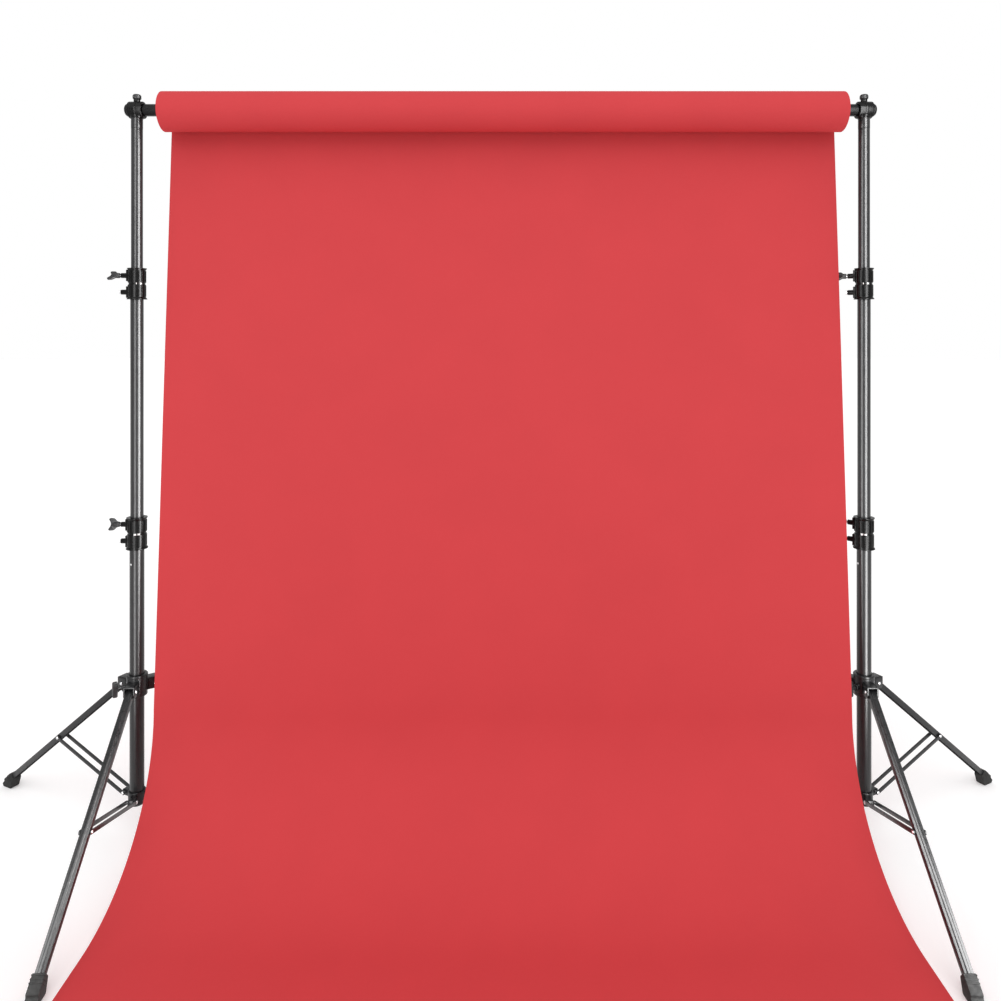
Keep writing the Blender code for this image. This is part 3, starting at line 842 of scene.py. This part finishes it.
def brace(side, number):
    """Two round-ended bars from the hub's tongue to both sides of the leg, with their rivets."""
    run = PIVOT_R + BRACE_SHARE * (FOOT_R - PIVOT_R) - HUB_R
    rise = PIVOT_Z + BRACE_SHARE * (FOOT_Z - PIVOT_Z) - HUB_Z
    length, slope = math.hypot(run, rise), -math.degrees(math.atan2(rise, run))
    end, high = 0.0045, BRACE_HALF_HEIGHT
    outline = rounded([(-end, -high), (length + end, -high), (length + end, high), (-end, high)], 0.0034, 5)
    parts = []
    for sign in (-1, 1):
        bar = prism(outline, BRACE_OUT - BRACE_IN, 0.0006)
        parts.append((moved(bar, shift(0, sign * (BRACE_IN + BRACE_OUT) / 2, 0)), STEEL))
    parts.append((moved(rod(PIN_R, -BRACE_OUT, BRACE_OUT), ALONG_Y), BRIGHT))
    parts += rivets(BRACE_OUT)
    parts += [(moved(head, shift(length, 0, 0)), steel) for head, steel in rivets(BRACE_OUT)]
    turn = LEG_TURN[side][number - 1]
    place = base_place(side, 0) @ spin_z(turn) @ shift(HUB_R, 0, HUB_Z) @ tilt_y(slope)
    name = f"{side}_brace_{number}"
    piece(name + "_bars", name, [name], parts, place)


def stand(side):
    columns(side)
    joints = (
        ("lower", f"{side}_base", LOWER_R, MIDDLE_R, 12),
        ("upper", f"{side}_mast", MIDDLE_R, UPPER_R, 50),
    )
    for level, body, outer_r, inner_r, wing_roll in joints:
        collar(side, level, body, COLLAR_BODY_R[level], outer_r, inner_r)
        wing_knob(side, level, inner_r, wing_roll)
        frame["nodes"][f"{side}_{level}_set_screw"].data.materials[0] = BRIGHT
    bar_holder(side)
    leg_collar(side)
    lock_knob(side)
    hub(side)
    for number in (1, 2, 3):
        leg(side, number)
        foot(side, number)
        brace(side, number)


# ---- Floor, light and camera ----

EYE_DISTANCE, EYE_HEIGHT = 1.60, 1.0046
LENS, SENSOR = 28.91, 36.0
SHIFT_X, SHIFT_Y = -0.0025, -0.1703
SKY_LIGHT = 0.77
SUN_LIGHT = 1.08
STRIP_AWAY, STRIP_HEIGHT = 0.5, 1.75
STRIPS = (("bright_strip", 38, 0.22, 30), ("dim_strip", -34, 0.16, 9))


def pale_floor():
    material = base_material("studio_floor", (0.93, 0.93, 0.93), 0.7, specular=0.1)
    shader_of(material).inputs["Emission Color"].default_value = (1, 1, 1, 1)
    shader_of(material).inputs["Emission Strength"].default_value = 0.16
    vary_colour(material, noise_of(material, 3, 3), (0.92, 0.92, 0.92), (0.94, 0.94, 0.94))
    bm = bmesh.new()
    bmesh.ops.create_circle(bm, cap_ends=True, radius=30, segments=96)
    bmesh.ops.translate(bm, verts=bm.verts, vec=(0, 0, -0.0006))
    mesh = bpy.data.meshes.new("studio_floor")
    bm.to_mesh(mesh)
    bm.free()
    mesh.materials.append(material)
    ground = bpy.data.objects.new("studio_floor", mesh)
    bpy.context.scene.collection.objects.link(ground)


def strip(name, side, turn, width, watts, lit):
    """A tall strip near a column, which shows in the gloss of the lit collection alone."""
    data = bpy.data.lights.new(name, "AREA")
    data.shape = "RECTANGLE"
    data.size, data.size_y = width, STRIP_HEIGHT
    data.energy = watts
    lamp = bpy.data.objects.new(name, data)
    away = Matrix.Rotation(math.radians(turn), 4, "Z") @ Vector((STRIP_AWAY, 0, 0))
    lamp.location = (COLUMN[side].x + away.x, COLUMN[side].y + away.y, STRIP_HEIGHT / 2 + 0.03)
    lamp.rotation_euler = (-away).to_track_quat("-Z", "Y").to_euler()
    lamp.visible_camera = False
    lamp.visible_diffuse = False
    lamp.light_linking.receiver_collection = lit
    bpy.context.scene.collection.objects.link(lamp)


def studio():
    """An even white sky, a soft sun from above the front, and a strip each side for the gloss."""
    world = bpy.data.worlds.new("studio_sky")
    bpy.context.scene.world = world
    world.use_nodes = True
    tree = world.node_tree
    sky = tree.nodes["Background"]
    sky.inputs["Color"].default_value = (1, 1, 1, 1)
    seen = tree.nodes.new("ShaderNodeLightPath")
    lift = tree.nodes.new("ShaderNodeMath")
    lift.operation = "MULTIPLY_ADD"
    lift.inputs[1].default_value = 1.0 - SKY_LIGHT
    lift.inputs[2].default_value = SKY_LIGHT
    tree.links.new(seen.outputs["Is Camera Ray"], lift.inputs[0])
    tree.links.new(lift.outputs["Value"], sky.inputs["Strength"])
    data = bpy.data.lights.new("soft_sun", "SUN")
    data.energy = SUN_LIGHT
    data.angle = math.radians(70)
    sun = bpy.data.objects.new("soft_sun", data)
    sun.rotation_euler = (math.radians(42), 0, math.radians(-6))
    bpy.context.scene.collection.objects.link(sun)
    lit = bpy.data.collections.new("strip_lit")
    for obj in bpy.data.objects:
        if obj.name.startswith(("left_", "right_", "bar_")):
            lit.objects.link(obj)
    for side in SIDES:
        for name, turn, width, watts in STRIPS:
            strip(f"{side}_{name}", side, MARK_TURN[side] + turn, width, watts, lit)


def camera():
    data = bpy.data.cameras.new("camera")
    data.lens, data.sensor_width = LENS, SENSOR
    data.shift_x, data.shift_y = SHIFT_X, SHIFT_Y
    data.clip_start, data.clip_end = 0.05, 100
    eye = bpy.data.objects.new("camera", data)
    eye.location = (ROLL.x, ROLL.y - EYE_DISTANCE, EYE_HEIGHT)
    eye.rotation_euler = (math.radians(90), 0, 0)
    bpy.context.scene.collection.objects.link(eye)
    bpy.context.scene.camera = eye


bpy.context.scene.view_settings.view_transform = "Standard"
crossbar()
end_caps()
roll()
paper_sheet()
for stand_side in SIDES:
    stand(stand_side)
pale_floor()
studio()
camera()
